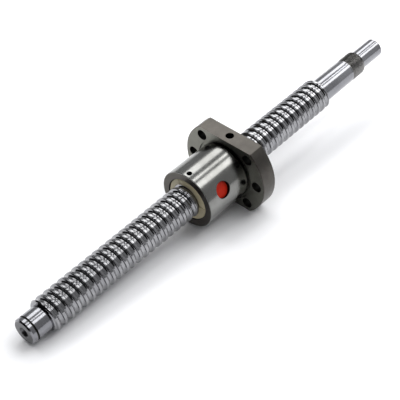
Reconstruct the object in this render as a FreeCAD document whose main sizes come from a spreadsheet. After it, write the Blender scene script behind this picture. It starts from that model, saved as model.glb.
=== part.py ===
"""Ball screw assembly, 20 mm x 5 mm lead, with a round-flange single nut and internal ball return.

Row frame in millimetres: X runs along the screw from its supported end to its drive end, +Z is up
through the flat of the nut flange, and the origin is the centre of the supported end face.
"""
import FreeCAD, Part
import math
import os

import Sketcher

VECTOR = FreeCAD.Vector

# Driving dimensions, in millimetres unless the name says otherwise.
DRIVING = {
    "thread_dia": 20.0,
    "lead": 5.0,
    "ball_dia": 3.175,
    "ball_circle_dia": 20.5,
    "groove_radius": 1.70,
    "floating_journal_dia": 15.0,
    "floating_journal_length": 13.0,
    "circlip_groove_dia": 14.3,
    "circlip_groove_width": 1.15,
    "circlip_groove_start": 2.85,
    "thread_end": 240.0,
    "fixed_journal_dia": 15.0,
    "fixed_journal_length": 28.0,
    "locknut_thread_pitch": 1.0,
    "locknut_thread_depth": 0.61,
    "locknut_thread_length": 12.0,
    "drive_journal_dia": 12.0,
    "drive_journal_length": 20.0,
    "journal_chamfer": 0.8,
    "thread_end_chamfer": 0.7,
    "centre_pilot_dia": 3.15,
    "centre_pilot_depth": 5.5,
    "centre_cone_dia": 6.3,
    "nut_front": 122.0,
    "nut_length": 42.0,
    "nut_dia": 36.0,
    "nut_bore_dia": 21.2,
    "flange_dia": 58.0,
    "flange_thickness": 10.0,
    "flange_flats": 44.0,
    "flange_hole_dia": 6.6,
    "flange_hole_circle": 47.0,
    "undercut_width": 1.2,
    "undercut_depth": 0.7,
    "face_relief_depth": 0.8,
    "face_relief_dia": 39.2,
    "edge_chamfer": 0.4,
    "oil_hole_dia": 5.0,
    "oil_hole_depth": 6.5,
    "oil_passage_dia": 3.0,
    "seat_dia": 26.6,
    "seat_depth": 5.0,
    "rear_seat_depth": 3.4,
    "wiper_clearance": 0.1,
    "wiper_bore_dia": 20.6,
    "wiper_inset": 0.3,
    "wiper_lip_step": 0.35,
    "wiper_slit_width": 0.5,
    "wiper_slit_depth": 2.4,
    "wiper_screw_dia": 3.3,
    "wiper_screw_length": 2.8,
    "wiper_screw_inset": 3.0,
    "wiper_screw_hex": 2.0,
    "return_hole_dia": 10.0,
    "return_clearance": 0.05,
    "return_inset": 2.0,
    "return_slot_roof": 13.4,
    "return_slot_clearance": 0.30,
    "plug_chamfer": 0.3,
}

FLANGE_HOLE_ANGLES = (0.0, 45.0, 135.0, 180.0, 225.0, 315.0)
WIPER_SLIT_START = 60.0
WIPER_SLITS = 3

CIRCUITS = 3
CIRCUIT_STEP_ANGLE = 120.0
FIRST_RETURN_ANGLE = 153.0
FIRST_RETURN_TURN = 26
BALLS_PER_CIRCUIT = 20
RETURN_BALLS = 3
LOAD_SECTORS = ("front", "middle", "rear")
NUT_GROOVE_START_TURN = 24
NUT_GROOVE_TURNS = 9

# The ball leaves the groove this far either side of the return and rides over the crest between.
RETURN_HALF_ANGLE = 13.0
RETURN_LIFT = 1.45
RETURN_LIFT_SHARE = 0.30
RETURN_SHIFT_START = 0.05
RETURN_TAIL_ANGLE = 36.0


class Dim:
    """A length with both its value and the spreadsheet expression that produces it."""

    def __init__(self, value, text):
        self.value = value
        self.text = text

    def _join(self, other, symbol, value):
        text = other.text if isinstance(other, Dim) else repr(other)
        return Dim(value, f"({self.text} {symbol} {text})")

    def __add__(self, other):
        return self._join(other, "+", self.value + number(other))

    def __sub__(self, other):
        return self._join(other, "-", self.value - number(other))

    def __mul__(self, other):
        return self._join(other, "*", self.value * number(other))

    def __truediv__(self, other):
        return self._join(other, "/", self.value / number(other))

    def __neg__(self):
        return Dim(-self.value, f"(-1 * {self.text})")


def number(item):
    return item.value if isinstance(item, Dim) else item


def make_sheet(doc):
    """The spreadsheet that holds every driving dimension, one alias per row."""
    sheet = doc.addObject("Spreadsheet::Sheet", "Dims")
    for row, (name, value) in enumerate(DRIVING.items(), start=1):
        sheet.set(f"A{row}", name)
        sheet.set(f"B{row}", str(value))
        sheet.setAlias(f"B{row}", name)
    doc.recompute()
    return {name: Dim(value, f"Dims.{name}") for name, value in DRIVING.items()}


def origin_feature(body, role):
    """A body's own origin plane or axis."""
    return next(item for item in body.Origin.OriginFeatures if item.Role == role)


def new_body(doc, label):
    body = doc.addObject("PartDesign::Body", "Body_" + label)
    body.Label = label
    return body


def new_sketch(body, name, role="XY_Plane", offset=None):
    sketch = body.newObject("Sketcher::SketchObject", name)
    sketch.AttachmentSupport = [(origin_feature(body, role), "")]
    sketch.MapMode = "FlatFace"
    if offset is not None:
        sketch.AttachmentOffset = offset
    return sketch


def pin_point(sketch, geometry, point, axis, dim):
    """Hold one coordinate of a sketch point at a driven distance from the sketch origin."""
    value = number(dim)
    if abs(value) < 1e-9:
        line = -2 if axis == "X" else -1
        sketch.addConstraint(Sketcher.Constraint("PointOnObject", geometry, point, line))
        return
    ends = (-1, 1, geometry, point) if value > 0 else (geometry, point, -1, 1)
    index = sketch.addConstraint(Sketcher.Constraint("Distance" + axis, *ends, abs(value)))
    if isinstance(dim, Dim):
        bound = dim if value > 0 else -dim
        sketch.setExpression(f"Constraints[{index}]", bound.text)


def draw_polygon(sketch, points):
    """A closed polygon whose corners are all held by driven distances."""
    first = sketch.GeometryCount
    count = len(points)
    corners = [VECTOR(number(x), number(y), 0) for x, y in points]
    for i in range(count):
        sketch.addGeometry(Part.LineSegment(corners[i], corners[(i + 1) % count]), False)
    for i in range(count):
        following = first + (i + 1) % count
        sketch.addConstraint(Sketcher.Constraint("Coincident", first + i, 2, following, 1))
    for i, (x, y) in enumerate(points):
        pin_point(sketch, first + i, 1, "X", x)
        pin_point(sketch, first + i, 1, "Y", y)


def draw_circle(sketch, x, y, radius):
    index = sketch.GeometryCount
    centre = VECTOR(number(x), number(y), 0)
    sketch.addGeometry(Part.Circle(centre, VECTOR(0, 0, 1), number(radius)), False)
    pin_point(sketch, index, 3, "X", x)
    pin_point(sketch, index, 3, "Y", y)
    held = sketch.addConstraint(Sketcher.Constraint("Radius", index, number(radius)))
    if isinstance(radius, Dim):
        sketch.setExpression(f"Constraints[{held}]", radius.text)


def revolve(doc, body, name, points):
    """Turn a closed profile of (x, radius) corners about the screw axis."""
    sketch = new_sketch(body, name + "_profile")
    draw_polygon(sketch, points)
    turned = body.newObject("PartDesign::Revolution", name)
    turned.Profile = sketch
    turned.ReferenceAxis = (sketch, ["H_Axis"])
    turned.Angle = 360
    doc.recompute()
    return turned


def cut_helix(doc, body, name, sketch, pitch, height):
    """Sweep a sketch along a right-hand helix about the screw axis and remove it."""
    doc.recompute()
    helix = body.newObject("PartDesign::SubtractiveHelix", name)
    helix.Profile = sketch
    helix.ReferenceAxis = (sketch, ["H_Axis"])
    helix.Mode = 0
    helix.Pitch = number(pitch)
    helix.setExpression("Pitch", pitch.text)
    helix.Height = number(height)
    if isinstance(height, Dim):
        helix.setExpression("Height", height.text)
    helix.LeftHanded = False
    doc.recompute()
    return helix


def cut_pocket(doc, body, name, sketch, depth=None, reverse=False, both_ways=False):
    """Pocket a sketch to a driven depth, or right through when no depth is given."""
    doc.recompute()
    before = body.Shape.Volume
    pocket = body.newObject("PartDesign::Pocket", name)
    pocket.Profile = sketch
    pocket.Reversed = reverse
    pocket.Midplane = both_ways
    if depth is None:
        pocket.Type = 1
    else:
        pocket.Length = number(depth)
        pocket.setExpression("Length", depth.text)
    doc.recompute()
    if not body.Shape.Volume < before - 1e-3:
        raise RuntimeError(f"{name} removed nothing")
    return pocket


def radial_offset(x, angle, radius):
    """Placement of a sketch that looks inward at the screw axis from one angle round it."""
    turn = math.radians(angle)
    base = VECTOR(number(x), number(radius) * math.cos(turn), number(radius) * math.sin(turn))
    return FreeCAD.Placement(base, FreeCAD.Rotation(VECTOR(1, 0, 0), angle - 90.0))


def radial_hole(doc, body, name, x, angle, start, dia, depth):
    """A round hole drilled toward the screw axis from a given radius."""
    sketch = new_sketch(body, name + "_outline", offset=radial_offset(x, angle, start))
    draw_circle(sketch, 0, 0, dia / 2)
    return cut_pocket(doc, body, name, sketch, depth)


def turned_axis_placement(x, angle):
    """Moves a piece drawn with its radial axis up so that it points at an angle round the screw."""
    return FreeCAD.Placement(VECTOR(x, 0, 0), FreeCAD.Rotation(VECTOR(1, 0, 0), angle - 90.0))


def return_position(circuit):
    """Axial centre and angle of a circuit's return, midway between two turns of the groove."""
    angle = FIRST_RETURN_ANGLE + CIRCUIT_STEP_ANGLE * circuit
    turns = FIRST_RETURN_TURN + circuit + 0.5 + angle / 360.0
    return DRIVING["lead"] * turns, angle


def build_screw(doc, d):
    """The ground shaft with its two journals, locknut thread and ball groove."""
    body = new_body(doc, "screw_shaft")
    shoulder = d["floating_journal_length"]
    thread_r = d["thread_dia"] / 2
    floating_r = d["floating_journal_dia"] / 2
    fixed_r = d["fixed_journal_dia"] / 2
    drive_r = d["drive_journal_dia"] / 2
    fixed_end = d["thread_end"] + d["fixed_journal_length"]
    locknut_end = fixed_end + d["locknut_thread_length"]
    end = locknut_end + d["drive_journal_length"]
    chamfer = d["journal_chamfer"]
    crest_chamfer = d["thread_end_chamfer"]
    pilot_r = d["centre_pilot_dia"] / 2
    cone_r = d["centre_cone_dia"] / 2
    cone_depth = (d["centre_cone_dia"] - d["centre_pilot_dia"]) * (0.5 / math.tan(math.radians(30)))
    pilot_end = d["centre_pilot_depth"]
    pilot_tip = pilot_end + pilot_r * 0.6
    clip_start = d["circlip_groove_start"]
    clip_end = clip_start + d["circlip_groove_width"]
    clip_r = d["circlip_groove_dia"] / 2
    revolve(doc, body, "blank", [
        (pilot_tip, 0),
        (pilot_end, pilot_r),
        (cone_depth, pilot_r),
        (0, cone_r),
        (0, floating_r - chamfer),
        (chamfer, floating_r),
        (clip_start, floating_r),
        (clip_start, clip_r),
        (clip_end, clip_r),
        (clip_end, floating_r),
        (shoulder, floating_r),
        (shoulder, thread_r - crest_chamfer),
        (shoulder + crest_chamfer, thread_r),
        (d["thread_end"] - crest_chamfer, thread_r),
        (d["thread_end"], thread_r - crest_chamfer),
        (d["thread_end"], fixed_r),
        (locknut_end - chamfer, fixed_r),
        (locknut_end, fixed_r - chamfer),
        (locknut_end, drive_r),
        (end - chamfer, drive_r),
        (end, drive_r - chamfer),
        (end, cone_r),
        (end - cone_depth, pilot_r),
        (end - pilot_end, pilot_r),
        (end - pilot_tip, 0),
    ])
    groove = new_sketch(body, "groove_section")
    draw_circle(groove, d["lead"], d["ball_circle_dia"] / 2, d["groove_radius"])
    cut_helix(doc, body, "ball_groove", groove, d["lead"], d["thread_end"])
    cut_thread_rings(doc, body, d, fixed_end, fixed_r)
    return body


def cut_thread_rings(doc, body, d, start, radius):
    """The locknut thread, as one ring of its 60 degree section for each turn of the thread."""
    pitch = d["locknut_thread_pitch"]
    root_r = radius - d["locknut_thread_depth"]
    section = new_sketch(body, "locknut_thread_section")
    draw_polygon(section, [
        (start + pitch * 0.12, radius + 0.1),
        (start + pitch * 0.88, radius + 0.1),
        (start + pitch * 0.56, root_r),
        (start + pitch * 0.44, root_r),
    ])
    ring = body.newObject("PartDesign::Groove", "locknut_thread_ring")
    ring.Profile = section
    ring.ReferenceAxis = (section, ["H_Axis"])
    ring.Angle = 360
    doc.recompute()
    pattern = body.newObject("PartDesign::LinearPattern", "locknut_thread")
    pattern.Originals = [ring]
    pattern.Direction = (origin_feature(body, "X_Axis"), [""])
    turns = round(number(d["locknut_thread_length"]) / number(pitch))
    pattern.Length = number(pitch) * (turns - 1)
    pattern.setExpression("Length", (d["locknut_thread_length"] - pitch).text)
    pattern.Occurrences = turns
    body.Tip = pattern
    doc.recompute()


def build_nut(doc, d):
    """The ground nut body with its flange, internal ball groove, seats and holes."""
    body = new_body(doc, "nut_body")
    front = d["nut_front"]
    back = front + d["nut_length"]
    flange_front = back - d["flange_thickness"]
    nut_r = d["nut_dia"] / 2
    bore_r = d["nut_bore_dia"] / 2
    flange_r = d["flange_dia"] / 2
    seat_r = d["seat_dia"] / 2
    chamfer = d["edge_chamfer"]
    undercut_start = flange_front - d["undercut_width"]
    relief_end = flange_front + d["face_relief_depth"]
    relief_r = d["face_relief_dia"] / 2
    revolve(doc, body, "blank", [
        (front, seat_r + chamfer),
        (front, nut_r - chamfer),
        (front + chamfer, nut_r),
        (undercut_start - chamfer, nut_r),
        (undercut_start, nut_r - chamfer),
        (undercut_start, nut_r - d["undercut_depth"]),
        (relief_end, nut_r - d["undercut_depth"]),
        (relief_end, relief_r),
        (flange_front, relief_r),
        (flange_front, flange_r - chamfer),
        (flange_front + chamfer, flange_r),
        (back - chamfer, flange_r),
        (back, flange_r - chamfer),
        (back, seat_r + chamfer),
        (back - chamfer, seat_r),
        (back - d["rear_seat_depth"], seat_r),
        (back - d["rear_seat_depth"], bore_r),
        (front + d["seat_depth"], bore_r),
        (front + d["seat_depth"], seat_r),
        (front + chamfer, seat_r),
    ])
    half_flat = d["flange_flats"] / 2
    flats = new_sketch(body, "flats_outline", role="YZ_Plane")
    for side in (1, -1):
        edge = half_flat * side
        beyond = flange_r * side
        draw_polygon(flats, [
            (-flange_r, edge),
            (flange_r, edge),
            (flange_r, beyond),
            (-flange_r, beyond),
        ])
    cut_pocket(doc, body, "flange_flats_cut", flats, reverse=True)
    holes = new_sketch(body, "flange_holes_outline", role="YZ_Plane")
    for angle in FLANGE_HOLE_ANGLES:
        turn = math.radians(angle)
        circle_r = d["flange_hole_circle"] / 2
        y = circle_r * round(math.cos(turn), 9)
        z = circle_r * round(math.sin(turn), 9)
        draw_circle(holes, y, z, d["flange_hole_dia"] / 2)
    cut_pocket(doc, body, "flange_holes", holes, reverse=True)
    oil_x = back - d["flange_thickness"] / 2
    radial_hole(doc, body, "oil_hole", oil_x, 90.0, half_flat, d["oil_hole_dia"], d["oil_hole_depth"])
    passage_depth = half_flat - bore_r + 0.5
    radial_hole(doc, body, "oil_passage", oil_x, 90.0, half_flat, d["oil_passage_dia"], passage_depth)
    radial_hole(doc, body, "wiper_screw_hole", front + d["wiper_screw_inset"], 90.0, nut_r,
                d["wiper_screw_dia"], nut_r - seat_r + 0.5)
    for circuit in range(CIRCUITS):
        x, angle = return_position(circuit)
        radial_hole(doc, body, f"return_hole_{circuit + 1}", x, angle, nut_r + 0.5,
                    d["return_hole_dia"], nut_r)
    groove = new_sketch(body, "groove_section")
    start = d["lead"] * NUT_GROOVE_START_TURN
    draw_circle(groove, start, d["ball_circle_dia"] / 2, d["groove_radius"])
    cut_helix(doc, body, "ball_groove", groove, d["lead"], d["lead"] * NUT_GROOVE_TURNS)
    return body


def ring_profile(d, inner_x, face_x, side):
    """Section of a lipped sealing ring: inner_x faces the ball thread and face_x faces outward."""
    outer_r = d["seat_dia"] / 2 - d["wiper_clearance"]
    bore_r = d["wiper_bore_dia"] / 2
    lip_r = bore_r + d["wiper_lip_step"]
    step = d["edge_chamfer"] * side
    return [
        (inner_x, bore_r),
        (inner_x, outer_r),
        (face_x - step, outer_r),
        (face_x, outer_r - d["edge_chamfer"]),
        (face_x, lip_r + d["edge_chamfer"]),
        (face_x - step, lip_r),
        (face_x - step * 3, lip_r),
        (face_x - step * 3, bore_r),
    ]


def build_front_wiper(doc, d):
    """The split sealing ring held in the front seat of the nut."""
    body = new_body(doc, "front_wiper")
    face_x = d["nut_front"] + d["wiper_inset"]
    inner_x = d["nut_front"] + d["seat_depth"] - d["wiper_clearance"]
    revolve(doc, body, "blank", ring_profile(d, inner_x, face_x, -1.0))
    half_slit = d["wiper_slit_width"] / 2
    outline = new_sketch(body, "slit_outline", role="YZ_Plane")
    outline.AttachmentOffset = FreeCAD.Placement(
        VECTOR(0, 0, number(face_x) - 0.1), FreeCAD.Rotation(VECTOR(0, 0, 1), WIPER_SLIT_START))
    draw_polygon(outline, [
        (d["wiper_bore_dia"] / 2 - 0.5, half_slit),
        (d["seat_dia"] / 2, half_slit),
        (d["seat_dia"] / 2, -half_slit),
        (d["wiper_bore_dia"] / 2 - 0.5, -half_slit),
    ])
    slit = cut_pocket(doc, body, "slit", outline, d["wiper_slit_depth"], reverse=True)
    pattern = body.newObject("PartDesign::PolarPattern", "slits")
    pattern.Originals = [slit]
    pattern.Axis = (origin_feature(body, "X_Axis"), [""])
    pattern.Angle = 360
    pattern.Occurrences = WIPER_SLITS
    body.Tip = pattern
    doc.recompute()
    return body


def build_rear_ring(doc, d):
    """The plain sealing ring in the rear seat of the nut."""
    body = new_body(doc, "rear_seal_ring")
    back = d["nut_front"] + d["nut_length"]
    face_x = back - d["wiper_inset"]
    inner_x = back - d["rear_seat_depth"] + d["wiper_clearance"]
    revolve(doc, body, "blank", ring_profile(d, inner_x, face_x, 1.0))
    return body


def build_wiper_screw(doc, d):
    """The socket set screw that pins the front wiper."""
    body = new_body(doc, "wiper_set_screw")
    radius = d["wiper_screw_dia"] / 2 - d["return_clearance"]
    tip = d["seat_dia"] / 2 - d["return_clearance"]
    length = d["wiper_screw_length"]
    sketch = new_sketch(body, "outline")
    draw_circle(sketch, 0, 0, radius)
    pad = body.newObject("PartDesign::Pad", "shank")
    pad.Profile = sketch
    pad.Length = number(length)
    pad.setExpression("Length", length.text)
    doc.recompute()
    top = FreeCAD.Placement(VECTOR(0, 0, number(length)), FreeCAD.Rotation())
    socket = new_sketch(body, "socket_outline", offset=top)
    corner = d["wiper_screw_hex"] / 2 / math.cos(math.radians(30))
    turns = [math.radians(60 * i) for i in range(6)]
    draw_polygon(socket, [
        (corner * round(math.cos(turn), 9), corner * round(math.sin(turn), 9)) for turn in turns])
    cut_pocket(doc, body, "socket", socket, d["wiper_screw_length"] * 0.5)
    x = number(d["nut_front"] + d["wiper_screw_inset"])
    body.Placement = FreeCAD.Placement(VECTOR(x, 0, number(tip)), FreeCAD.Rotation())
    return body


def slot_corners(start, end, half_width):
    """Four corners of a straight slot between two points of a plane."""
    along_x = end[0] - start[0]
    along_y = end[1] - start[1]
    length = math.hypot(along_x, along_y)
    side_x = -along_y / length * half_width
    side_y = along_x / length * half_width
    return [
        (start[0] + side_x, start[1] + side_y),
        (end[0] + side_x, end[1] + side_y),
        (end[0] - side_x, end[1] - side_y),
        (start[0] - side_x, start[1] - side_y),
    ]


def build_deflector(doc, d, circuit):
    """A return plug: a round cap with an S-shaped slot that carries balls over one thread crest."""
    body = new_body(doc, f"return_deflector_{circuit + 1}")
    plug_r = d["return_hole_dia"] / 2 - d["return_clearance"]
    cap = d["nut_dia"] / 2 - d["return_inset"]
    outline = new_sketch(body, "outline")
    draw_circle(outline, 0, 0, plug_r)
    pad = body.newObject("PartDesign::Pad", "plug")
    pad.Profile = outline
    pad.Length = number(cap)
    pad.setExpression("Length", cap.text)
    doc.recompute()
    rim = body.newObject("PartDesign::Chamfer", "rim")
    top_edges = [
        f"Edge{i + 1}" for i, edge in enumerate(pad.Shape.Edges)
        if abs(edge.BoundBox.ZMin - number(cap)) < 1e-6]
    rim.Base = (pad, top_edges)
    rim.Size = number(d["plug_chamfer"])
    rim.setExpression("Size", d["plug_chamfer"].text)
    doc.recompute()
    bore = new_sketch(body, "bore_outline", role="YZ_Plane")
    draw_circle(bore, 0, 0, d["nut_bore_dia"] / 2 + 0.1)
    cut_pocket(doc, body, "bore", bore, both_ways=True)
    reach = math.radians(RETURN_HALF_ANGLE)
    path_r = DRIVING["ball_circle_dia"] / 2
    climb = DRIVING["lead"] / (2 * math.pi)
    bend = (DRIVING["lead"] / 2 - climb * reach, path_r * math.sin(reach))
    tail_angle = math.radians(RETURN_TAIL_ANGLE)
    tail = (DRIVING["lead"] / 2 - climb * tail_angle, path_r * math.sin(tail_angle))
    back_bend = (-bend[0], -bend[1])
    back_tail = (-tail[0], -tail[1])
    half_width = DRIVING["groove_radius"] + DRIVING["return_slot_clearance"]
    roof = d["return_slot_roof"]
    legs = (("lead_in", tail, bend), ("crossing", bend, back_bend), ("lead_out", back_bend, back_tail))
    roof_plane = FreeCAD.Placement(VECTOR(0, 0, number(roof)), FreeCAD.Rotation())
    for name, start, end in legs:
        leg = new_sketch(body, name + "_outline", offset=roof_plane)
        draw_polygon(leg, slot_corners(start, end, half_width))
        cut_pocket(doc, body, name, leg, roof)
    corners = new_sketch(body, "bend_outline", offset=roof_plane)
    for centre in (bend, back_bend):
        draw_circle(corners, centre[0], centre[1], half_width)
    cut_pocket(doc, body, "bends", corners, roof)
    x, angle = return_position(circuit)
    body.Placement = turned_axis_placement(x, angle)
    return body


def smooth(share):
    """Eases from 0 to 1 with level ends."""
    held = min(1.0, max(0.0, share))
    return held * held * (3.0 - 2.0 * held)


def circuit_path(circuit, steps=720):
    """Ball-centre points once round a closed circuit, starting halfway across its return."""
    lead = DRIVING["lead"]
    path_r = DRIVING["ball_circle_dia"] / 2
    centre_x, centre_angle = return_position(circuit)
    points = []
    for i in range(steps + 1):
        turn = 360.0 * i / steps
        signed = turn if turn <= 180.0 else turn - 360.0
        front_x = centre_x - lead / 2 + lead * turn / 360.0
        radius = path_r
        x = front_x
        if abs(signed) < RETURN_HALF_ANGLE:
            share = (signed + RETURN_HALF_ANGLE) / (2 * RETURN_HALF_ANGLE)
            near_x = centre_x - lead / 2 + lead * signed / 360.0
            moved = smooth((share - RETURN_SHIFT_START) / (1 - 2 * RETURN_SHIFT_START))
            x = near_x + lead * (1 - moved)
            rise = smooth(share / RETURN_LIFT_SHARE) * smooth((1 - share) / RETURN_LIFT_SHARE)
            radius = path_r + RETURN_LIFT * rise
        around = math.radians(centre_angle + turn)
        points.append(VECTOR(x, radius * math.cos(around), radius * math.sin(around)))
    return points


def ball_centres(circuit):
    """Evenly spaced ball centres round a circuit, the first one halfway across its return."""
    points = circuit_path(circuit)
    lengths = [0.0]
    for before, after in zip(points, points[1:]):
        lengths.append(lengths[-1] + before.distanceToPoint(after))
    centres = []
    segment = 0
    for i in range(BALLS_PER_CIRCUIT):
        target = lengths[-1] * i / BALLS_PER_CIRCUIT
        while lengths[segment + 1] < target:
            segment += 1
        share = (target - lengths[segment]) / (lengths[segment + 1] - lengths[segment])
        centres.append(points[segment] + (points[segment + 1] - points[segment]) * share)
    return centres


def build_ball_group(doc, d, label, centres):
    """Separate steel balls that share one node."""
    balls = []
    radius = d["ball_dia"] / 2
    for i, centre in enumerate(centres):
        ball = doc.addObject("Part::Sphere", f"{label}_ball_{i + 1}")
        ball.Radius = number(radius)
        ball.setExpression("Radius", radius.text)
        ball.Placement = FreeCAD.Placement(centre, FreeCAD.Rotation())
        balls.append(ball)
    group = doc.addObject("Part::Compound", "Group_" + label)
    group.Label = label
    group.Links = balls
    return group


def build_balls(doc, d):
    """Every circuit's balls, split into the return and three sectors of the loaded turn."""
    groups = []
    for circuit in range(CIRCUITS):
        centres = ball_centres(circuit)
        side = RETURN_BALLS // 2
        crossing = centres[-side:] + centres[:side + 1]
        loaded = centres[side + 1:-side]
        name = f"circuit_{circuit + 1}_balls_"
        groups.append(build_ball_group(doc, d, name + "return", crossing))
        share = math.ceil(len(loaded) / len(LOAD_SECTORS))
        for index, sector in enumerate(LOAD_SECTORS):
            chosen = loaded[index * share:(index + 1) * share]
            groups.append(build_ball_group(doc, d, name + sector, chosen))
    return groups


def write_parts(doc, parts):
    """Check every finished sub-part and write one STEP file for each."""
    for item in doc.Objects:
        if "Invalid" in item.State or "Error" in item.State:
            raise RuntimeError(f"{item.Label} did not recompute: {item.State}")
    os.makedirs("parts", exist_ok=True)
    for part in parts:
        if part.Shape.isNull() or not part.Shape.isValid():
            raise RuntimeError(f"{part.Label} has no valid shape")
        part.Shape.exportStep(f"parts/{part.Label}.step")
        box = part.Shape.BoundBox
        solids = len(part.Shape.Solids)
        print(f"{part.Label}: {solids} solids, {part.Shape.Volume:.1f} mm3, "
              f"x {box.XMin:.2f}..{box.XMax:.2f}, y {box.YMin:.2f}..{box.YMax:.2f}, "
              f"z {box.ZMin:.2f}..{box.ZMax:.2f}")


def main():
    doc = FreeCAD.newDocument("ball_screw_assembly")
    d = make_sheet(doc)
    parts = [
        build_screw(doc, d),
        build_nut(doc, d),
        build_front_wiper(doc, d),
        build_rear_ring(doc, d),
        build_wiper_screw(doc, d),
    ]
    for circuit in range(CIRCUITS):
        parts.append(build_deflector(doc, d, circuit))
    parts.extend(build_balls(doc, d))
    doc.recompute()
    write_parts(doc, parts)


main()
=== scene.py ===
"""Looks and studio for the ball screw assembly. Lengths in this file are in millimetres until they
are scaled into the frame's metres."""
import math

import bmesh
import bpy
import numpy as np
from mathutils import Matrix, Vector


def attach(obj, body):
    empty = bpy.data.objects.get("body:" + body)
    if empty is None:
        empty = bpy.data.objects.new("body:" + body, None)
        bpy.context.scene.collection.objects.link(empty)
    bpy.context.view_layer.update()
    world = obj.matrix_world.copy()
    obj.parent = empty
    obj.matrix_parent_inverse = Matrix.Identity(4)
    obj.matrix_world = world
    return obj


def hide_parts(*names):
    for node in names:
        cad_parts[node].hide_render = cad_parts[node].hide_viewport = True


MM = 0.001
# Depth of the fine ridges along the ball thread, in metres.
HELIX_LINE_DEPTH = 0.000045

LEAD = 5.0
THREAD_R = 10.0
GROOVE_R = 1.70
BALL_CIRCLE_R = 10.25
CREST_ROUND = 0.22
THREAD_START = 13.0
THREAD_END = 240.0
CREST_CHAMFER = 0.7
FLOATING_R = 7.5
FIXED_R = 7.5
DRIVE_R = 6.0
LOCKNUT_START = 268.0
LOCKNUT_END = 280.0
SCREW_END = 300.0

NUT_FRONT = 122.0
NUT_BACK = 164.0
FLANGE_FRONT = 154.0
FLANGE_MIDDLE = 159.0
NUT_R = 18.0
FLANGE_R = 29.0
FLAT_HALF = 22.0
UNDERCUT_START = 152.8
UNDERCUT_R = 17.3
RELIEF_X = 154.8
RELIEF_R = 19.6
SEAT_R = 13.3
SHELL_BORE_R = 12.0
WIPER_SCREW_X = 125.0
WIPER_SCREW_R = 1.65
OIL_HOLE_R = 2.5
OIL_PASSAGE_R = 1.5
BOLT_CIRCLE_R = 23.5
BOLT_HOLE_R = 3.3
RETURN_HOLE_R = 5.0
RETURN_ANGLES = (153.0, 273.0, 393.0)
BOLT_ANGLES = (0.0, 45.0, 135.0, 180.0, 225.0, 315.0)
FIRST_RETURN_X = 134.625


# ---------------------------------------------------------------- materials

class Nodes:
    """Small helper that adds and links shader nodes in one material."""

    def __init__(self, name):
        self.material = bpy.data.materials.new(name)
        self.material.use_nodes = True
        self.tree = self.material.node_tree
        self.tree.nodes.clear()
        self.output = self.tree.nodes.new("ShaderNodeOutputMaterial")
        self.shader = self.tree.nodes.new("ShaderNodeBsdfPrincipled")
        self.tree.links.new(self.shader.outputs["BSDF"], self.output.inputs["Surface"])
        self.place = self.tree.nodes.new("ShaderNodeTexCoord").outputs["Object"]

    def add(self, kind, inputs=None, **settings):
        node = self.tree.nodes.new(kind)
        for key, value in settings.items():
            setattr(node, key, value)
        for key, value in (inputs or {}).items():
            self.feed(node.inputs[key], value)
        return node

    def feed(self, socket, value):
        if isinstance(value, bpy.types.NodeSocket):
            self.tree.links.new(value, socket)
        else:
            socket.default_value = value

    def scaled(self, scale):
        return self.add("ShaderNodeMapping", {"Vector": self.place, "Scale": scale}).outputs["Vector"]

    def noise(self, scale, size=1.0, detail=4.0, rough=0.6):
        vector = self.scaled(scale)
        node = self.add("ShaderNodeTexNoise", {"Vector": vector, "Scale": size, "Detail": detail,
                                               "Roughness": rough})
        return node.outputs["Fac"]

    def spread(self, value, low, high):
        """Maps a noise value from its usual middle range to low..high."""
        node = self.add("ShaderNodeMapRange", {"Value": value, "From Min": 0.3, "From Max": 0.7,
                                               "To Min": low, "To Max": high})
        return node.outputs["Result"]

    def blend(self, factor, first, second, mode="MIX"):
        node = self.add("ShaderNodeMix", data_type="RGBA", blend_type=mode)
        self.feed(node.inputs[0], factor)
        self.feed(node.inputs[6], first)
        self.feed(node.inputs[7], second)
        return node.outputs[2]

    def maths(self, operation, first, second=0.0):
        node = self.add("ShaderNodeMath", operation=operation)
        self.feed(node.inputs[0], first)
        self.feed(node.inputs[1], second)
        return node.outputs[0]

    def bump(self, height, strength, distance=0.00002, under=None):
        inputs = {"Height": height, "Strength": strength, "Distance": distance}
        if under is not None:
            inputs["Normal"] = under
        return self.add("ShaderNodeBump", inputs).outputs["Normal"]


def helix_wave(n, lines_per_lead):
    """Fine ridges that run along the ball thread, a whole number of them to each lead."""
    split = n.add("ShaderNodeSeparateXYZ", {"Vector": n.place})
    around = n.maths("ARCTAN2", split.outputs["Z"], split.outputs["Y"])
    along = n.maths("MULTIPLY", split.outputs["X"], 2.0 * math.pi * lines_per_lead / (LEAD * MM))
    phase = n.maths("SUBTRACT", along, n.maths("MULTIPLY", around, float(lines_per_lead)))
    return n.maths("MULTIPLY", n.maths("ADD", n.maths("SINE", phase), 1.0), 0.5)


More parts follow.
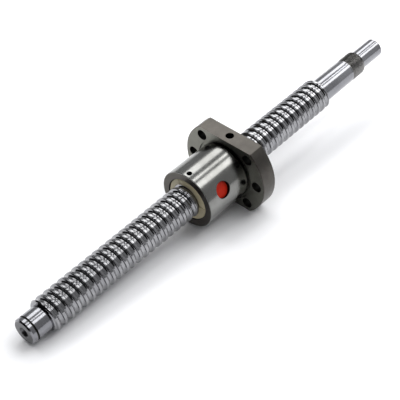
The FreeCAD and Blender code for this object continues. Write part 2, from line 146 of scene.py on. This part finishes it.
def steel(name, light, dark, rough, line_axis="X", line_strength=0.25, grain=2500.0, stain=0.35,
          helix_lines=None):
    """Ground steel: fine grinding lines across line_axis, cloudy tone and roughness."""
    n = Nodes(name)
    stretch = {"X": (grain, 40.0, 40.0), "Y": (40.0, grain, 40.0), "R": (grain, grain, grain)}[line_axis]
    lines = n.noise(stretch, 1.0, 3.0, 0.55)
    clouds = n.noise((60.0, 60.0, 60.0), 1.0, 5.0, 0.6)
    marks = n.noise((700.0, 700.0, 700.0), 1.0, 6.0, 0.7)
    tone = n.blend(n.spread(clouds, 0.0, 1.0), light + (1.0,), dark + (1.0,))
    tone = n.blend(n.spread(marks, 0.0, stain), tone, dark + (1.0,))
    n.feed(n.shader.inputs["Base Color"], tone)
    n.shader.inputs["Metallic"].default_value = 1.0
    base = n.spread(lines, rough * 0.75, rough * 1.3)
    n.feed(n.shader.inputs["Roughness"], n.maths("ADD", base, n.spread(marks, -0.02, 0.04)))
    normal = n.bump(lines, line_strength)
    if helix_lines is not None:
        normal = n.bump(helix_wave(n, helix_lines), 1.0, HELIX_LINE_DEPTH, normal)
    normal = n.bump(clouds, 0.06, 0.0001, normal)
    n.feed(n.shader.inputs["Normal"], normal)
    return n.material


def plastic(name, light, dark, rough, specular=0.4):
    """Moulded plastic with slightly uneven colour and a fine surface grain."""
    n = Nodes(name)
    clouds = n.noise((180.0, 180.0, 180.0), 1.0, 4.0, 0.6)
    grain = n.noise((3500.0, 3500.0, 3500.0), 1.0, 3.0, 0.6)
    tone = n.blend(n.spread(clouds, 0.0, 1.0), light + (1.0,), dark + (1.0,))
    n.feed(n.shader.inputs["Base Color"], tone)
    n.feed(n.shader.inputs["Roughness"], n.spread(grain, rough * 0.85, rough * 1.15))
    n.shader.inputs["Specular IOR Level"].default_value = specular
    n.feed(n.shader.inputs["Normal"], n.bump(grain, 0.15))
    return n.material


# ---------------------------------------------------------------- mesh helpers

def finish_mesh(name, mesh, materials, sharp=30.0):
    """Smooth shading with crisp edges, and the materials in slot order."""
    for material in materials:
        mesh.materials.append(material)
    for polygon in mesh.polygons:
        polygon.use_smooth = True
    if sharp is not None:
        mesh.set_sharp_from_angle(angle=math.radians(sharp))
    obj = bpy.data.objects.new(name, mesh)
    bpy.context.scene.collection.objects.link(obj)
    return obj


def lathe_mesh(name, profile, segments=256, closed=False):
    """Turns (x, radius) corners about the screw axis; closed joins the last corner to the first.

    The profile is a list of corners, or a function that gives the list for an angle in radians.
    """
    turns = np.linspace(0.0, 2.0 * math.pi, segments, endpoint=False)
    points = np.array([profile(turn) if callable(profile) else profile for turn in turns], float)
    count = points.shape[1]
    verts = np.empty((segments, count, 3))
    verts[:, :, 0] = points[:, :, 0]
    verts[:, :, 1] = np.cos(turns)[:, None] * points[:, :, 1]
    verts[:, :, 2] = np.sin(turns)[:, None] * points[:, :, 1]
    faces = []
    last = count if closed else count - 1
    for i in range(segments):
        j = (i + 1) % segments
        for k in range(last):
            m = (k + 1) % count
            faces.append((i * count + k, i * count + m, j * count + m, j * count + k))
    mesh = bpy.data.meshes.new(name)
    mesh.from_pydata((verts.reshape(-1, 3) * MM).tolist(), [], faces)
    work = bmesh.new()
    work.from_mesh(mesh)
    bmesh.ops.remove_doubles(work, verts=work.verts, dist=1e-7)
    bmesh.ops.dissolve_degenerate(work, dist=1e-8, edges=work.edges)
    bmesh.ops.recalc_face_normals(work, faces=work.faces)
    work.to_mesh(mesh)
    work.free()
    return mesh


def cylinder_cutter(name, centre, direction, radius, length, segments=96):
    """A cylinder about a centre point, along a direction, for boolean cuts."""
    mesh = bpy.data.meshes.new(name)
    work = bmesh.new()
    bmesh.ops.create_cone(work, cap_ends=True, segments=segments, radius1=radius * MM,
                          radius2=radius * MM, depth=length * MM)
    turn = Vector((0, 0, 1)).rotation_difference(Vector(direction)).to_matrix().to_4x4()
    bmesh.ops.transform(work, matrix=Matrix.Translation(Vector(centre) * MM) @ turn, verts=work.verts)
    work.to_mesh(mesh)
    work.free()
    return mesh


def subtract(mesh, cutter):
    """Exact boolean difference of two closed meshes."""
    body = bpy.data.objects.new("cut_body", mesh)
    tool = bpy.data.objects.new("cut_tool", cutter)
    for obj in (body, tool):
        bpy.context.scene.collection.objects.link(obj)
    modifier = body.modifiers.new("cut", "BOOLEAN")
    modifier.operation = "DIFFERENCE"
    modifier.solver = "EXACT"
    modifier.object = tool
    graph = bpy.context.evaluated_depsgraph_get()
    result = bpy.data.meshes.new_from_object(body.evaluated_get(graph))
    bpy.data.objects.remove(body)
    bpy.data.objects.remove(tool)
    return result


# ---------------------------------------------------------------- the screw

def groove_depth_profile():
    """(phase, radius) corners across one lead of the ball thread, starting at a groove centre."""
    edge = math.sqrt(GROOVE_R ** 2 - (BALL_CIRCLE_R - THREAD_R) ** 2)
    corners = []
    steps = 12
    limit = math.degrees(math.asin((edge - 0.05) / GROOVE_R))
    for i in range(steps + 1):
        turn = math.radians(limit * i / steps)
        corners.append((GROOVE_R * math.sin(turn), BALL_CIRCLE_R - GROOVE_R * math.cos(turn)))
    first = corners[-1]
    rounded = []
    for i in range(1, 6):
        turn = math.radians(90.0 * i / 5)
        x = first[0] + (CREST_ROUND + 0.05) * (1 - math.cos(turn))
        r = first[1] + (THREAD_R - first[1]) * math.sin(turn)
        rounded.append((x, r))
    half = corners + rounded
    middle = LEAD / 2
    flat_start = half[-1][0]
    for share in (0.35, 0.7):
        half.append((flat_start + (middle - flat_start) * share, THREAD_R))
    half.append((middle, THREAD_R))
    mirrored = [(LEAD - x, r) for x, r in reversed(half[1:-1])]
    return half + mirrored


def helix_skin(name, held_x, r, angles):
    """A skin over a grid of turned points, without the cells pressed flat at either end."""
    rows, columns = held_x.shape
    verts = np.stack([held_x, r * np.cos(angles)[:, None], r * np.sin(angles)[:, None]], 2)
    faces = []
    for i in range(rows - 1):
        for k in range(columns - 1):
            cell = held_x[i:i + 2, k:k + 2]
            if cell.max() - cell.min() < 1e-6:
                continue
            a = i * columns + k
            b = (i + 1) * columns + k
            faces.append((a, a + 1, b + 1, b))
    mesh = bpy.data.meshes.new(name)
    mesh.from_pydata((verts.reshape(-1, 3) * MM).tolist(), [], faces)
    work = bmesh.new()
    work.from_mesh(mesh)
    bmesh.ops.delete(work, geom=[v for v in work.verts if not v.link_faces], context="VERTS")
    bmesh.ops.remove_doubles(work, verts=work.verts, dist=2e-6)
    bmesh.ops.recalc_face_normals(work, faces=work.faces)
    work.to_mesh(mesh)
    work.free()
    return mesh


def build_thread(material):
    """The ball thread as a fine skin laid along the helix, closed against both shoulders."""
    corners = groove_depth_profile()
    per_turn = 144
    turns = range(int(THREAD_START // LEAD) - 2, int(THREAD_END // LEAD) + 3)
    phases = np.array([k * LEAD + x for k in turns for x, _ in corners])
    radii = np.array([r for _ in turns for _, r in corners])
    angles = np.arange(per_turn + 1) * (2.0 * math.pi / per_turn)
    x = phases[None, :] + LEAD * angles[:, None] / (2.0 * math.pi)
    from_end = np.minimum(x - THREAD_START, THREAD_END - x)
    crest = THREAD_R - np.clip(CREST_CHAMFER - from_end, 0.0, CREST_CHAMFER)
    r = np.minimum(np.broadcast_to(radii, x.shape), crest)
    held_x = np.clip(x, THREAD_START, THREAD_END)
    mesh = helix_skin("screw_thread", held_x, r, angles)
    return finish_mesh("screw_thread", mesh, [material], sharp=40.0)


def ball_thread_radius(x, angle, corners):
    """Radius of the ball thread where a plane across the screw meets it at one angle."""
    phase = (x - LEAD * angle / (2.0 * math.pi)) % LEAD
    xs = [corner[0] for corner in corners] + [LEAD]
    rs = [corner[1] for corner in corners] + [corners[0][1]]
    return float(np.interp(phase, xs, rs))


def build_shoulders(material):
    """Flat end faces of the threaded length, from the journals out to the thread."""
    corners = groove_depth_profile()
    segments = 288
    verts, faces = [], []
    for x, inner in ((THREAD_START, FLOATING_R), (THREAD_END, FIXED_R)):
        base = len(verts)
        for i in range(segments):
            angle = 2.0 * math.pi * i / segments
            outer = min(ball_thread_radius(x, angle, corners), THREAD_R - CREST_CHAMFER)
            for r in (inner - 0.05, outer):
                verts.append((x * MM, r * math.cos(angle) * MM, r * math.sin(angle) * MM))
        for i in range(segments):
            a = base + 2 * i
            b = base + 2 * ((i + 1) % segments)
            quad = (a, a + 1, b + 1, b)
            faces.append(quad if x == THREAD_END else quad[::-1])
    mesh = bpy.data.meshes.new("screw_shoulders")
    mesh.from_pydata(verts, [], faces)
    return finish_mesh("screw_shoulders", mesh, [material], sharp=None)


def centre_hole(face_x, side):
    """Lathe corners of a 60 degree centre hole, from its bottom out to the end face."""
    return [
        (face_x + side * 6.4, 0.0),
        (face_x + side * 5.5, 1.575),
        (face_x + side * 2.73, 1.575),
        (face_x + side * 0.12, 3.08),
        (face_x, 3.25),
    ]


def build_floating_end(material, dark, face):
    """Supported journal: centre hole, chamfer, circlip groove, running up to the shoulder."""
    profile = centre_hole(0.0, 1) + [(0.0, 6.7), (0.8, 7.5), (2.85, 7.5), (2.85, 7.15), (4.0, 7.15),
                                     (4.0, 7.5), (12.6, 7.5), (13.0, 7.5)]
    obj = finish_mesh("screw_floating_end", lathe_mesh("floating_end", profile),
                      [material, dark, face])
    for polygon in obj.data.polygons:
        middle = polygon.center / MM
        # The circlip groove gets the near-black steel: painted shade in the groove.
        if 2.8 < middle.x < 4.05 and math.hypot(middle.y, middle.z) < 7.4:
            polygon.material_index = 1
        # The end face and centre hole get the darkened steel: painted shade on the end.
        elif middle.x < 0.01 or math.hypot(middle.y, middle.z) < 3.2:
            polygon.material_index = 2
    return obj


def build_fixed_journal(material):
    profile = [(240.0, 7.5), (240.6, 7.5), (266.9, 7.5), (267.3, 7.45), (267.7, 7.5), (268.05, 7.5)]
    return finish_mesh("screw_fixed_journal", lathe_mesh("fixed_journal", profile), [material])


def build_locknut_thread(material):
    """A fine M15 x 1 thread laid as a true helix, with its end chamfer."""
    depth = 0.61
    corners = [(0.0, 0.0), (0.05, 0.0), (0.44, depth), (0.56, depth), (0.95, 0.0)]
    per_turn = 128
    start, end = LOCKNUT_START, LOCKNUT_END
    turns = range(-2, int(end - start) + 2)
    phases = np.array([start + k + x for k in turns for x, _ in corners])
    depths = np.array([d for _ in turns for _, d in corners])
    angles = np.arange(per_turn + 1) * (2.0 * math.pi / per_turn)
    x = phases[None, :] + angles[:, None] / (2.0 * math.pi)
    crest = FIXED_R - np.clip(0.8 - (end - x), 0.0, 0.8)
    run_in = np.clip((x - start) / 0.6, 0.0, 1.0)
    r = np.minimum(FIXED_R - depths[None, :] * run_in, crest)
    held = np.clip(x, start, end)
    mesh = helix_skin("locknut_thread", held, r, angles)
    return finish_mesh("screw_locknut_thread", mesh, [material], sharp=35.0)


def build_drive_end(material):
    profile = [(280.0, 6.8), (280.0, 6.1), (280.1, DRIVE_R), (299.2, DRIVE_R), (SCREW_END, 5.2)]
    profile += centre_hole(SCREW_END, -1)[::-1]
    return finish_mesh("screw_drive_end", lathe_mesh("drive_end", profile), [material])


# ---------------------------------------------------------------- the nut

def box_mesh(name, low, high):
    mesh = bpy.data.meshes.new(name)
    work = bmesh.new()
    bmesh.ops.create_cube(work, size=1.0)
    size = Vector(high) - Vector(low)
    centre = (Vector(high) + Vector(low)) / 2
    matrix = Matrix.Translation(centre * MM) @ Matrix.Diagonal((*(size * MM), 1.0))
    bmesh.ops.transform(work, matrix=matrix, verts=work.verts)
    work.to_mesh(mesh)
    work.free()
    return mesh


def radial_cutter(name, x, angle, radius, low, high, segments=96):
    turn = math.radians(angle)
    direction = (0.0, math.cos(turn), math.sin(turn))
    middle = (low + high) / 2
    centre = (x, direction[1] * middle, direction[2] * middle)
    return cylinder_cutter(name, centre, direction, radius, high - low, segments)


NUT_PROFILE = [
    (NUT_FRONT, 13.7), (NUT_FRONT, 17.65), (122.12, 17.88), (122.35, NUT_R), (152.45, NUT_R),
    (152.68, 17.88), (UNDERCUT_START, 17.65), (UNDERCUT_START, UNDERCUT_R), (RELIEF_X, UNDERCUT_R),
    (RELIEF_X, RELIEF_R), (FLANGE_FRONT, RELIEF_R), (FLANGE_FRONT, 28.6), (154.12, 28.88),
    (154.4, FLANGE_R), (163.6, FLANGE_R), (163.88, 28.88), (NUT_BACK, 28.6), (NUT_BACK, 13.7),
    (163.6, SEAT_R), (160.6, SEAT_R), (160.6, SHELL_BORE_R), (127.0, SHELL_BORE_R), (127.0, SEAT_R),
    (122.4, SEAT_R),
]


def nut_cutters():
    cutters = [
        box_mesh("flat_top", (150.0, -40.0, FLAT_HALF), (170.0, 40.0, 40.0)),
        box_mesh("flat_bottom", (150.0, -40.0, -40.0), (170.0, 40.0, -FLAT_HALF)),
    ]
    for angle in BOLT_ANGLES:
        turn = math.radians(angle)
        centre = (FLANGE_MIDDLE, BOLT_CIRCLE_R * math.cos(turn), BOLT_CIRCLE_R * math.sin(turn))
        cutters.append(cylinder_cutter("bolt_hole", centre, (1, 0, 0), BOLT_HOLE_R, 14.0, 64))
    cutters.append(
        radial_cutter("wiper_screw_hole", WIPER_SCREW_X, 90.0, WIPER_SCREW_R, 12.7, 19.0, 48))
    for index, angle in enumerate(RETURN_ANGLES):
        x = FIRST_RETURN_X + index * LEAD * 4.0 / 3.0
        cutters.append(radial_cutter("return_hole", x, angle, RETURN_HOLE_R, 9.0, 19.0, 128))
    return cutters


def in_hole(point):
    """Whether a point of the nut lies on a bolt, oil, wiper screw or return hole, or in the bore: the
    places that build_nut paints with near-black shade.
    """
    radius = math.hypot(point.y, point.z)
    if point.x > 153.5:
        for angle in BOLT_ANGLES:
            turn = math.radians(angle)
            across = point.y - BOLT_CIRCLE_R * math.cos(turn)
            up = point.z - BOLT_CIRCLE_R * math.sin(turn)
            if math.hypot(across, up) < BOLT_HOLE_R + 0.1:
                return FLANGE_FRONT + 0.02 < point.x < 163.95
        if math.hypot(point.x - FLANGE_MIDDLE, point.y) < OIL_HOLE_R + 0.1 and point.z < FLAT_HALF - 0.1:
            return True
    return 122.05 < point.x < 163.95 and radius < 17.55 and not 152.75 < point.x < 154.9


def tidy_normals(mesh):
    """Exact normals on the round faces, so that their long facets do not show in reflections."""
    corner_normals = [Vector(item.vector) for item in mesh.corner_normals]
    for polygon in mesh.polygons:
        radii = []
        for index in polygon.vertices:
            point = mesh.vertices[index].co
            radii.append(math.hypot(point.y, point.z) / MM)
        round_face = max(radii) - min(radii) < 0.02 and abs(polygon.normal.x) < 0.02
        if round_face and min(abs(radii[0] - r) for r in (NUT_R, FLANGE_R, SEAT_R)) < 0.02:
            middle = polygon.center
            side = 1.0 if polygon.normal.y * middle.y + polygon.normal.z * middle.z > 0 else -1.0
            for loop in polygon.loop_indices:
                point = mesh.vertices[mesh.loops[loop].vertex_index].co
                corner_normals[loop] = Vector((0.0, point.y, point.z)).normalized() * side
        elif abs(polygon.normal.x) > 0.999:
            for loop in polygon.loop_indices:
                corner_normals[loop] = polygon.normal.copy()
    mesh.normals_split_custom_set(corner_normals)


def build_nut(bright, dark, black, face):
    mesh = lathe_mesh("nut", NUT_PROFILE, 256, closed=True)
    for cutter in nut_cutters():
        mesh = subtract(mesh, cutter)
    mesh = subtract(mesh, radial_cutter("oil_hole", FLANGE_MIDDLE, 90.0, OIL_HOLE_R, 15.5, 30.0, 64))
    mesh = subtract(mesh, radial_cutter("oil_passage", FLANGE_MIDDLE, 90.0, OIL_PASSAGE_R, 9.0, 16.0, 48))
    obj = finish_mesh("nut_shell", mesh, [bright, dark, black, face], sharp=28.0)
    for polygon in mesh.polygons:
        middle = polygon.center / MM
        radius = math.hypot(middle.y, middle.z)
        if middle.x > 153.5 or middle.x < 122.05:
            polygon.material_index = 1
        on_face = abs(middle.x - FLANGE_FRONT) < 0.01 or abs(middle.x - RELIEF_X) < 0.01 and radius > 18.2
        if on_face:
            polygon.material_index = 3
        # Slot 2 (black) is painted shade: the undercut, relief walls, holes and bore are set near-black
        # where shade falls.
        elif 152.75 < middle.x < 154.9 and radius < 19.65 or in_hole(middle):
            polygon.material_index = 2
    tidy_normals(mesh)
    return obj


def thread_lip(x, angle):
    """Lip radius of the front wiper, which follows the ball thread.

    It is 0.12 mm clear where it is set, and cuts in slightly on the steep sides between."""
    return ball_thread_radius(x, angle, groove_depth_profile()) + 0.12


def plain_lip(x, angle):
    """Lip radius of the rear ring, which clears the crests all round."""
    return 10.2


def ring_profile(inner_x, face_x, side, lip):
    """Section of a sealing ring, by angle."""
    outer, bore = 13.2, 10.9

    def section(angle):
        corners = [(inner_x, bore), (inner_x, outer), (face_x - side * 0.4, outer), (face_x, outer - 0.4)]
        for depth in (0.0, 0.4, 0.8, 1.2, 1.6):
            x = face_x - side * depth
            corners.append((x, lip(x, angle)))
        corners.append((face_x - side * 1.6, bore))
        return corners

    return section


def build_front_wiper(material):
    mesh = lathe_mesh("front_wiper", ring_profile(126.9, 122.3, -1.0, thread_lip), 288, closed=True)
    for index in range(3):
        slot_mesh = box_mesh("slit", (122.0, 8.0, -0.22), (124.7, 13.6, 0.22))
        turn = Matrix.Rotation(math.radians(60.0 + 120.0 * index), 4, "X")
        slot_mesh.transform(turn)
        mesh = subtract(mesh, slot_mesh)
    return finish_mesh("front_wiper_ring", mesh, [material])


def build_rear_ring(material):
    mesh = lathe_mesh("rear_ring", ring_profile(160.7, 163.7, 1.0, plain_lip), 288, closed=True)
    return finish_mesh("rear_seal", mesh, [material])


# ---------------------------------------------------------------- studio

def strip_light(name, angle, width, distance, radiance, x_range=(0.42, 2.6)):
    """A long soft box parallel to the screw, at an angle above +Y, seen in the polished steel."""
    light = bpy.data.lights.new(name, "AREA")
    light.shape = "RECTANGLE"
    light.size = x_range[1] - x_range[0]
    light.size_y = 2.0 * distance * math.tan(math.radians(width / 2.0))
    light.energy = radiance * math.pi * light.size * light.size_y
    obj = bpy.data.objects.new(name, light)
    turn = math.radians(angle)
    out = Vector((0.0, math.cos(turn), math.sin(turn)))
    obj.location = out * distance + Vector(((x_range[0] + x_range[1]) / 2.0, 0.0, 0.0))
    along = Vector((1, 0, 0))
    obj.rotation_euler = Matrix((along, out.cross(along), out)).transposed().to_euler()
    bpy.context.scene.collection.objects.link(obj)


def build_floor():
    """Pale table top, tilted as the assembly lies: on the screw's near end and the flange flat."""
    n = Nodes("pale_floor")
    clouds = n.noise((3.0, 3.0, 3.0), 1.0, 3.0, 0.5)
    tone = n.blend(n.spread(clouds, 0.0, 1.0), (0.93, 0.93, 0.94, 1.0), (0.90, 0.905, 0.925, 1.0))
    n.feed(n.shader.inputs["Base Color"], tone)
    n.shader.inputs["Roughness"].default_value = 0.6
    n.shader.inputs["Specular IOR Level"].default_value = 0.2
    near = Vector((THREAD_START, 0.0, -THREAD_R - 0.05)) * MM
    far = Vector((FLANGE_FRONT, 0.0, -FLAT_HALF - 0.05)) * MM
    along = (far - near).normalized()
    across = Vector((0.0, 1.0, 0.0))
    mesh = bpy.data.meshes.new("floor")
    reach = 8.0
    sides = ((-reach, -reach), (reach, -reach), (reach, reach), (-reach, reach))
    corners = [near + along * a + across * b for a, b in sides]
    mesh.from_pydata([tuple(c) for c in corners], [], [(0, 1, 2, 3)])
    mesh.materials.append(n.material)
    obj = bpy.data.objects.new("floor", mesh)
    bpy.context.scene.collection.objects.link(obj)


def build_world(dark, bright):
    """A studio that is dark behind the camera and grey beyond the far end of the screw."""
    world = bpy.data.worlds.new("studio")
    world.use_nodes = True
    tree = world.node_tree
    background = tree.nodes["Background"]
    background.inputs["Color"].default_value = (0.97, 0.98, 1.0, 1.0)
    place = tree.nodes.new("ShaderNodeTexCoord")
    split = tree.nodes.new("ShaderNodeSeparateXYZ")
    fade = tree.nodes.new("ShaderNodeMapRange")
    for socket, value in (("From Min", -0.05), ("From Max", 0.25), ("To Min", dark), ("To Max", bright)):
        fade.inputs[socket].default_value = value
    tree.links.new(place.outputs["Generated"], split.inputs["Vector"])
    tree.links.new(split.outputs["X"], fade.inputs["Value"])
    horizon = tree.nodes.new("ShaderNodeMapRange")
    for socket, value in (("From Min", 0.6), ("From Max", 0.95), ("To Min", 0.0), ("To Max", 0.7)):
        horizon.inputs[socket].default_value = value
    total = tree.nodes.new("ShaderNodeMath")
    tree.links.new(split.outputs["X"], horizon.inputs["Value"])
    tree.links.new(fade.outputs["Result"], total.inputs[0])
    tree.links.new(horizon.outputs["Result"], total.inputs[1])
    tree.links.new(total.outputs[0], background.inputs["Strength"])
    bpy.context.scene.world = world


def fill_light(name, location, size, power):
    """A soft overhead lamp for the table top and the plastics, not mirrored in the steel."""
    light = bpy.data.lights.new(name, "AREA")
    light.shape = "DISK"
    light.size = size
    light.energy = power
    obj = bpy.data.objects.new(name, light)
    obj.location = location
    obj.rotation_euler = (Vector(location) - Vector((0.15, 0.0, 0.0))).to_track_quat("Z", "Y").to_euler()
    obj.visible_glossy = False
    bpy.context.scene.collection.objects.link(obj)


def build_camera():
    """A long lens above the supported end, looking along the screw."""
    data = bpy.data.cameras.new("camera")
    data.sensor_width = 36.0
    data.lens = 99.6
    data.shift_x = 0.0273
    data.shift_y = -0.0022
    data.clip_start = 0.02
    data.clip_end = 60.0
    obj = bpy.data.objects.new("camera", data)
    bpy.context.scene.collection.objects.link(obj)
    right = Vector((0.66913, -0.74202, -0.04100))
    up = Vector((0.54580, 0.45324, 0.70475))
    back = right.cross(up)
    obj.location = (-0.18771, -0.30489, 0.43633)
    obj.rotation_euler = Matrix((right, up, back)).transposed().to_euler()
    bpy.context.scene.camera = obj


# ---------------------------------------------------------------- assembly

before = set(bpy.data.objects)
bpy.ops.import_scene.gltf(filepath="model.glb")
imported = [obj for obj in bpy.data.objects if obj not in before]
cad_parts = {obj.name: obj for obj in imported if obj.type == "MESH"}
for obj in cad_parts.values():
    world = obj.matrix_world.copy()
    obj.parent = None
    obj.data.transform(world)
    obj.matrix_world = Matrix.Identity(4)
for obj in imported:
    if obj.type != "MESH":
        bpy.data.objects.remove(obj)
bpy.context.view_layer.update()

thread_steel = steel("thread_steel", (0.38, 0.38, 0.39), (0.27, 0.27, 0.28), 0.06, "X", 0.15,
                     helix_lines=7)
journal_steel = steel("journal_steel", (0.33, 0.335, 0.35), (0.22, 0.22, 0.235), 0.15, "X", 0.4,
                      grain=7000.0)
# Darkened steel for the near end face and its centre hole: painted shade, darker than the journal steel.
shaded_end_steel = steel("end_face_painted_shade_steel", (0.15, 0.15, 0.155), (0.10, 0.10, 0.105), 0.32, "R", 0.2)
locknut_steel = steel("locknut_steel", (0.34, 0.335, 0.325), (0.20, 0.195, 0.19), 0.30, "X", 0.2)
bright_steel = steel("nut_ground_steel", (0.26, 0.26, 0.25), (0.19, 0.19, 0.18), 0.17, "X", 0.5,
                     grain=9000.0)
flange_steel = steel("flange_steel", (0.105, 0.097, 0.087), (0.066, 0.061, 0.055), 0.36, "R", 0.2)
face_steel = steel("flange_face_steel", (0.235, 0.235, 0.205), (0.17, 0.17, 0.148), 0.40, "R", 0.2)
# Near-black steel that is painted shade: it goes into the circlip groove, the nut's bore, holes, undercut
# and relief, where shade falls.
recess_shade_steel = steel("recess_painted_shade_steel", (0.03, 0.03, 0.027), (0.014, 0.014, 0.012), 0.42, "R", 0.2)
ball_steel = steel("ball_steel", (0.6, 0.6, 0.62), (0.5, 0.5, 0.52), 0.06, "R", 0.03)
screw_black = steel("black_oxide_steel", (0.05, 0.05, 0.05), (0.03, 0.03, 0.03), 0.35, "R", 0.2)
red_plastic = plastic("red_plastic", (0.55, 0.022, 0.006), (0.40, 0.014, 0.004), 0.55, 0.15)
beige_plastic = plastic("beige_plastic", (0.56, 0.50, 0.34), (0.46, 0.41, 0.27), 0.5)

screw_pieces = [
    build_thread(thread_steel),
    build_shoulders(journal_steel),
    build_floating_end(journal_steel, recess_shade_steel, shaded_end_steel),
    build_fixed_journal(journal_steel),
    build_locknut_thread(locknut_steel),
    build_drive_end(journal_steel),
]
for piece in screw_pieces:
    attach(piece, "screw")
    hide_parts("screw_shaft")

nut_shell = build_nut(bright_steel, flange_steel, recess_shade_steel, face_steel)
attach(nut_shell, "nut")
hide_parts("nut_body")

wiper = build_front_wiper(beige_plastic)
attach(wiper, "nut")
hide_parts("front_wiper")

rear_ring = build_rear_ring(beige_plastic)
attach(rear_ring, "seal")
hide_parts("rear_seal_ring")

for name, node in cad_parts.items():
    if "balls" in name:
        chosen = ball_steel
    elif "deflector" in name:
        chosen = red_plastic
    elif name == "wiper_set_screw":
        chosen = screw_black
    else:
        continue
    node.data.materials.clear()
    node.data.materials.append(chosen)

build_floor()
build_world(0.015, 0.42)
strip_light("strip_back", 53.0, 26.0, 1.3, 3.2)
strip_light("strip_top", 87.0, 8.0, 1.3, 4.5)
strip_light("strip_front", 112.5, 21.0, 1.3, 3.6)
fill_light("table_fill", (0.0, 0.9, 1.5), 0.9, 8.0)
fill_light("room_fill", (0.2, 0.0, 1.9), 3.6, 26.0)
build_camera()
bpy.context.scene.view_settings.view_transform = "Standard"
